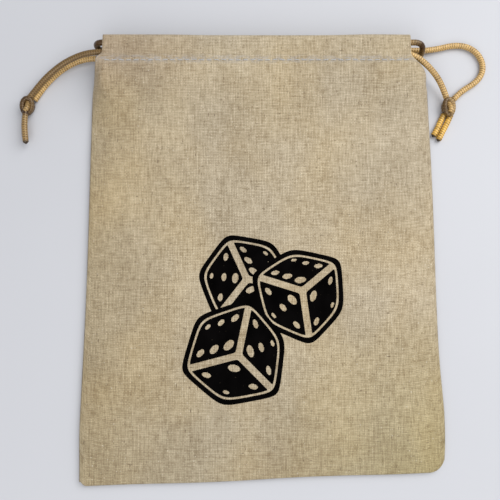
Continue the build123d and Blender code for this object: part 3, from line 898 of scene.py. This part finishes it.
class BAG_OT_cords(bpy.types.Operator):
    """Lay the two drawcords through their channels"""

    bl_idname = "bag.cords"
    bl_label = "Drawcords"

    def execute(self, context):
        cord = context.scene.bag_cord
        material = satin_cord("satin braid", cord, cord.gold)
        for side, route in (("left", LEFT_ROUTE), ("right", RIGHT_ROUTE)):
            line = smooth_line(side + " route", route)
            path, place = even_line(line, 0.16)
            points, faces, height = braided_tube(path, place, cord.diameter / MM / 2, cord.rib_pitch / MM,
                                                 (0.0, 0.7, -0.7))
            half = place / place[-1]
            # Painted shade: the left cord's first strand, both far bends and the right cord by its knot are
            # darkened, and the left cord more than the right overall
            if side == "left":
                shade = (0.34 + 0.42 * (1.0 - smooth(0.10, 0.16, half)) - 0.26 * smooth(0.2, 0.5, half)
                         + 0.90 * bell(half, 0.492, 0.018) + 0.03 * smooth(0.85, 0.9, half))
            else:
                shade = 0.06 + 0.94 * bell(half, 0.447, 0.034) + 0.22 * bell(half, 0.03, 0.02)
            values = {"strand": height, "shade": per_ring(shade), "tip": per_ring(0.0 * shade)}
            piece = make_piece(f"{side}_drawcord_braid", points, faces, material, f"{side}_drawcord",
                               (f"{side}_cord",), values=values)
            CORD_LINES[side] = (piece, path * MM, float(place[-1] * MM))
        return {"FINISHED"}


class BAG_OT_knots(bpy.types.Operator):
    """Tie each pair of cord ends in an overhand knot"""

    bl_idname = "bag.knots"
    bl_label = "Knots"

    def execute(self, context):
        cord = context.scene.bag_cord
        material = satin_cord("satin braid, tied", cord, cord.gold)
        for side, turn in (("left", -8.0), ("right", 6.0)):
            low, high = box_mm(f"{side}_knot")
            middle = (low + high) / 2
            turned = math.radians(turn)
            spin = np.array([[math.cos(turned), -math.sin(turned), 0],
                             [math.sin(turned), math.cos(turned), 0],
                             [0, 0, 1]])
            t = np.linspace(-0.25, 2 * math.pi + 0.35, 400)
            round_both = np.stack([2.00 * np.sin(t) * (1.0 + 0.12 * np.cos(t)), 3.25 * np.cos(t) - 0.35,
                                   0.55 + 0.95 * np.cos(t + 0.5) - 0.9 * smooth(5.9, 6.6, t)], axis=1)
            behind = np.stack([-1.85 * np.sin(t + 0.6), 2.95 * np.cos(t + 0.6) - 0.35,
                               -1.35 + 0.35 * np.cos(2 * t)], axis=1)
            v = np.linspace(-1.0, 1.0, 200)
            through = np.stack([0.35 - 0.55 * v + 0.35 * np.sin(3.0 * v), -3.2 * v,
                                0.35 + 1.05 * smooth(-0.5, 0.6, v)], axis=1)
            solids, strand, shade = [], [], []
            # Painted shade: each wrap has its own shade, 0.36 more on the left knot, growing darker towards
            # the wrap's left side
            for line, size, dark, slope in ((round_both, 1.12, 0.68, 0.12), (behind, 1.15, 0.75, 0.05),
                                            (through, 1.12, 0.12, 0.0)):
                path, place = even_line(line @ spin.T + middle, 0.14)
                points, faces, height = braided_tube(path, place, size, cord.rib_pitch / MM,
                                                     (0.06, 0.10, 0.99))
                across = (path - middle) @ spin[:, 0]
                tone = np.clip(dark + (0.36 if side == "left" else 0.0) - slope * across, 0.0, 0.95)
                solids.append((points, faces))
                strand.append(height)
                shade.append(per_ring(tone))
            points, faces = together(solids)
            shade = np.concatenate(shade)
            make_piece(f"{side}_knot_wraps", points, faces, material, f"{side}_drawcord",
                       (f"{side}_knot",),
                       values={"strand": np.concatenate(strand), "shade": shade, "tip": 0.0 * shade})
        return {"FINISHED"}


class BAG_OT_tails(bpy.types.Operator):
    """Let the short cord ends hang from the knots, with singed tips"""

    bl_idname = "bag.tails"
    bl_label = "Tails"

    def execute(self, context):
        cord = context.scene.bag_cord
        # Painted light and shade: the left ends are darkened through their shade attribute and the right
        # ends take the lit gold
        materials = {"left": satin_cord("satin braid, dull ends", cord, cord.gold),
                     "right": satin_cord("satin braid, bright ends", cord, cord.lit_gold)}
        for name, route in TAIL_ROUTES.items():
            path, place = even_line(smooth_line(name + " route", route), 0.13)
            left = place[-1] - place
            swell = 0.95 + 0.05 * bell(left, 2.2, 1.4) - 0.60 * (1.0 - smooth(0.0, 1.2, left)) ** 2
            points, faces, height = braided_tube(path, place, cord.diameter / MM / 2, cord.rib_pitch / MM,
                                                 (0.7, 0.0, 0.7), swell=swell)
            tip = 1.0 - smooth(0.5, 1.5, left + 0.3 * np.sin(place * 3.0))
            # Painted shade: the left tails are darker, and every tail darkens where it leaves its knot
            shade = (0.55 if name.startswith("left") else 0.0) + 0.45 * (1.0 - smooth(1.2, 3.4, place))
            values = {"strand": height, "shade": per_ring(shade), "tip": per_ring(tip)}
            side = name.split("_")[0]
            make_piece(f"{name}_braid", points, faces, materials[side], f"{side}_drawcord", (name,),
                       values=values)
        for side, names in (("left", ("left_knot_wraps", "left_tail_upper_braid", "left_tail_lower_braid")),
                            ("right", ("right_knot_wraps", "right_tail_inner_braid",
                                       "right_tail_outer_braid"))):
            piece, path, length = CORD_LINES[side]
        return {"FINISHED"}


class BAG_OT_front(bpy.types.Operator):
    """Drape the front cloth over the pocket and fold its hem in at the mouth"""

    bl_idname = "bag.front"
    bl_label = "Front cloth"

    def execute(self, context):
        cloth = context.scene.bag_cloth
        thickness = cloth.thickness / MM
        x, y, inwards = panel_grid(thickness, front_hem_depth)
        z = front_level(x, y, cloth.ripple / MM, thickness) - inwards
        grid = np.stack([x, y, z], axis=-1)
        points, faces = thick_sheet(grid, thickness)
        piece = make_piece("front_cloth", points, faces, linen("linen, front", cloth), "bag",
                           ("front_panel", "front_casing"), uv=cloth_uv(grid))
        return {"FINISHED"}


class BAG_OT_back(bpy.types.Operator):
    """Lay the back cloth flat on the table and fold its hem up at the mouth"""

    bl_idname = "bag.back"
    bl_label = "Back cloth"

    def execute(self, context):
        cloth = context.scene.bag_cloth
        thickness = cloth.thickness / MM
        x, y, inwards = panel_grid(thickness, hem_depth)
        z = thickness / 2 + TABLE_GAP + inwards
        grid = np.stack([x, y, z], axis=-1)[:, ::-1]
        points, faces = thick_sheet(grid, thickness)
        piece = make_piece("back_cloth", points, faces, linen("linen, back", cloth), "bag",
                           ("back_panel", "back_casing"), uv=cloth_uv(grid))
        return {"FINISHED"}


class BAG_OT_seams(bpy.types.Operator):
    """Fold the seam allowances in along both sides and the bottom"""

    bl_idname = "bag.seams"
    bl_label = "Seams"

    def execute(self, context):
        cloth = context.scene.bag_cloth
        # Painted shade: the seam allowances, tucked between the cloths, are darkened to 0.86
        material = linen("linen, seams", cloth, 0.86)
        angle = np.linspace(0.0, 2 * np.pi, 20, endpoint=False)
        section = np.stack([np.sign(np.cos(angle)) * np.abs(np.cos(angle)) ** 0.6,
                            np.sign(np.sin(angle)) * np.abs(np.sin(angle)) ** 0.7], axis=1)
        section[:, 1] *= 1.0 - 0.25 * bell(section[:, 0], 0.1, 0.35)
        for name in ("left_side_seam", "right_side_seam", "bottom_seam"):
            low, high = box_mm(name)
            t = np.linspace(0.0, 1.0, 160)
            if name == "bottom_seam":
                x = low[0] + 1.2 + (high[0] - low[0] - 2.4) * t
                path = np.stack([x, bottom_line(x) + 3.4 + 0.2 * np.sin(x / 3.7),
                                 np.full_like(x, SEAM_MIDDLE_Z)], axis=1)
                half = 2.9
            else:
                y = low[1] + 0.4 + (high[1] - low[1] - 0.8) * t
                edge = left_edge(y) + 2.0 if name.startswith("left") else right_edge(y) - 2.0
                path = np.stack([edge + 0.12 * np.sin(y / 3.1), y, np.full_like(y, SEAM_MIDDLE_Z)], axis=1)
                half = 1.5
            tangent = unit(np.gradient(path, axis=0))
            up = np.broadcast_to(np.array([0.0, 0.0, 1.0]), tangent.shape)
            across = np.cross(up, tangent)
            wide = half + 0.12 * np.sin(60 * t)
            thick = SEAM_HALF_THICKNESS + 0.02 * np.sin(90 * t)
            size = np.stack([wide, thick], axis=-1)[:, None, :]
            ring = section[None] * size * np.array([-1.0, 1.0])
            points, faces = carried_profile(path, across, up, ring)
            faces = [face[::-1] for face in faces]
            uv = np.stack([points[:, 0], points[:, 1]], axis=1) * MM
            make_piece(name + "_allowance", points, faces, material, "bag", (name,), uv=uv)
        return {"FINISHED"}


class BAG_OT_stitches(bpy.types.Operator):
    """Sew the two rows of stitches that close the channels"""

    bl_idname = "bag.stitches"
    bl_label = "Stitches"

    def execute(self, context):
        cloth = context.scene.bag_cloth
        material = sewing_thread("cotton thread", cloth)
        half = cloth.stitch_length / MM / 2
        for name, low, high, row_y in (("front", ROW_LOW, ROW_HIGH, STITCH_Y),
                                       ("back", BACK_ROW_LOW, BACK_ROW_HIGH, BACK_STITCH_Y)):
            middles = np.arange(low[0] + half, high[0], STITCH_PITCH)
            t = np.linspace(-1.0, 1.0, 9)
            solids = []
            for n, middle in enumerate(middles):
                tilt = 0.10 * math.sin(n * 2.3)
                x = middle + half * t
                y = row_y + tilt * t + 0.05 * math.sin(n * 1.7)
                if name == "front":
                    ground = front_level(x, y, cloth.ripple / MM, cloth.thickness / MM) + 0.25
                else:
                    ground = np.full_like(x, BACK_ROW_LEVEL)
                path = np.stack([x, y, ground + 0.20 - 0.34 * t ** 4], axis=1)
                tangent = unit(np.gradient(path, axis=0))
                across = unit(np.cross(tangent, np.array([0.0, 0.0, 1.0])))
                angle = np.linspace(0.0, 2 * np.pi, 8, endpoint=False)
                thin = (1.0 - 0.45 * t ** 6)[:, None, None]
                ring = np.stack([0.22 * np.cos(angle), 0.15 * np.sin(angle)], axis=1)[None] * thin
                solids.append(carried_profile(path, across, np.cross(tangent, across), ring))
            points, faces = together(solids)
            make_piece(f"{name}_row_of_stitches", points, faces, material, "bag",
                       (f"{name}_casing_stitches",))
        return {"FINISHED"}


class BAG_OT_print(bpy.types.Operator):
    """Print the three dice on the front cloth"""

    bl_idname = "bag.print"
    bl_label = "Printed dice"

    def execute(self, context):
        # Squares of a grid are kept where the motif is black. Grid points close to its edge are first
        # moved onto the edge, down the slope, and a square with one corner outside becomes a triangle.
        cloth = context.scene.bag_cloth
        x, y = np.meshgrid(np.arange(-38.0, 38.0, PRINT_STEP), np.arange(-68.0, 11.0, PRINT_STEP))
        place = np.stack([x, y], axis=-1)
        black = motif(place)
        slope_y, slope_x = np.gradient(black, PRINT_STEP)
        steep = np.maximum(slope_x ** 2 + slope_y ** 2, 0.25)
        near = (np.abs(black) < 0.5 * PRINT_STEP)[..., None]
        moved = place - near * np.stack([slope_x, slope_y], axis=-1) * (black / steep)[..., None]
        x, y = moved[..., 0], moved[..., 1]
        black = np.where(near[..., 0], 0.0, black)
        z = front_level(x, y, cloth.ripple / MM, cloth.thickness / MM) + cloth.thickness / MM / 2 + INK_LIFT
        faces = quads(*x.shape)
        corners = black.ravel()[faces]
        kept = faces[(corners.min(axis=1) >= 0.0) & (corners.max(axis=1) > 0.0)]
        edge = faces[(corners.min(axis=1) < 0.0) & (corners.max(axis=1) > 0.0)]
        values = black.ravel()[edge]
        worst = values.argmin(axis=1)
        others = np.stack([(worst + k) % 4 for k in (1, 2, 3)], axis=1)
        rows = np.arange(len(edge))[:, None]
        half = edge[rows, others][values[rows, others].min(axis=1) >= 0.0]
        used, number = np.unique(np.concatenate([kept.ravel(), half.ravel()]), return_inverse=True)
        points = np.stack([x, y, z], axis=-1).reshape(-1, 3)[used]
        squares = number[:kept.size].reshape(-1, 4).tolist()
        triangles = number[kept.size:].reshape(-1, 3).tolist()
        make_piece("dice_ink", points, squares + triangles, printed_ink("printing ink", cloth), "bag",
                   ("dice_print",), uv=points[:, :2] * MM)
        return {"FINISHED"}


STEPS = (BAG_OT_stage, BAG_OT_cords, BAG_OT_knots, BAG_OT_tails, BAG_OT_back, BAG_OT_front, BAG_OT_seams,
         BAG_OT_stitches, BAG_OT_print)


class BAG_PT_panel(bpy.types.Panel):
    """Lists the steps that dress the bag, in order"""

    bl_idname = "BAG_PT_panel"
    bl_label = "Drawstring Bag"
    bl_space_type = "VIEW_3D"
    bl_region_type = "UI"
    bl_category = "Drawstring Bag"

    def draw(self, context):
        for settings in (context.scene.bag_cloth, context.scene.bag_cord, context.scene.bag_stage):
            box = self.layout.box()
            for key in settings.__annotations__:
                box.prop(settings, key)
        for step in STEPS:
            self.layout.operator(step.bl_idname)


CLASSES = (BagClothSettings, BagCordSettings, BagStageSettings) + STEPS + (BAG_PT_panel,)


def register():
    for item in CLASSES:
        bpy.utils.register_class(item)
    bpy.types.Scene.bag_cloth = bpy.props.PointerProperty(type=BagClothSettings)
    bpy.types.Scene.bag_cord = bpy.props.PointerProperty(type=BagCordSettings)
    bpy.types.Scene.bag_stage = bpy.props.PointerProperty(type=BagStageSettings)


def unregister():
    del bpy.types.Scene.bag_cloth
    del bpy.types.Scene.bag_cord
    del bpy.types.Scene.bag_stage
    for item in reversed(CLASSES):
        bpy.utils.unregister_class(item)


def main():
    """Runs every step in order."""
    register()
    bpy.ops.bag.stage()
    bpy.ops.bag.cords()
    bpy.ops.bag.knots()
    bpy.ops.bag.tails()
    bpy.ops.bag.back()
    bpy.ops.bag.front()
    bpy.ops.bag.seams()
    bpy.ops.bag.stitches()
    bpy.ops.bag.print()


if __name__ == "__main__":
    main()
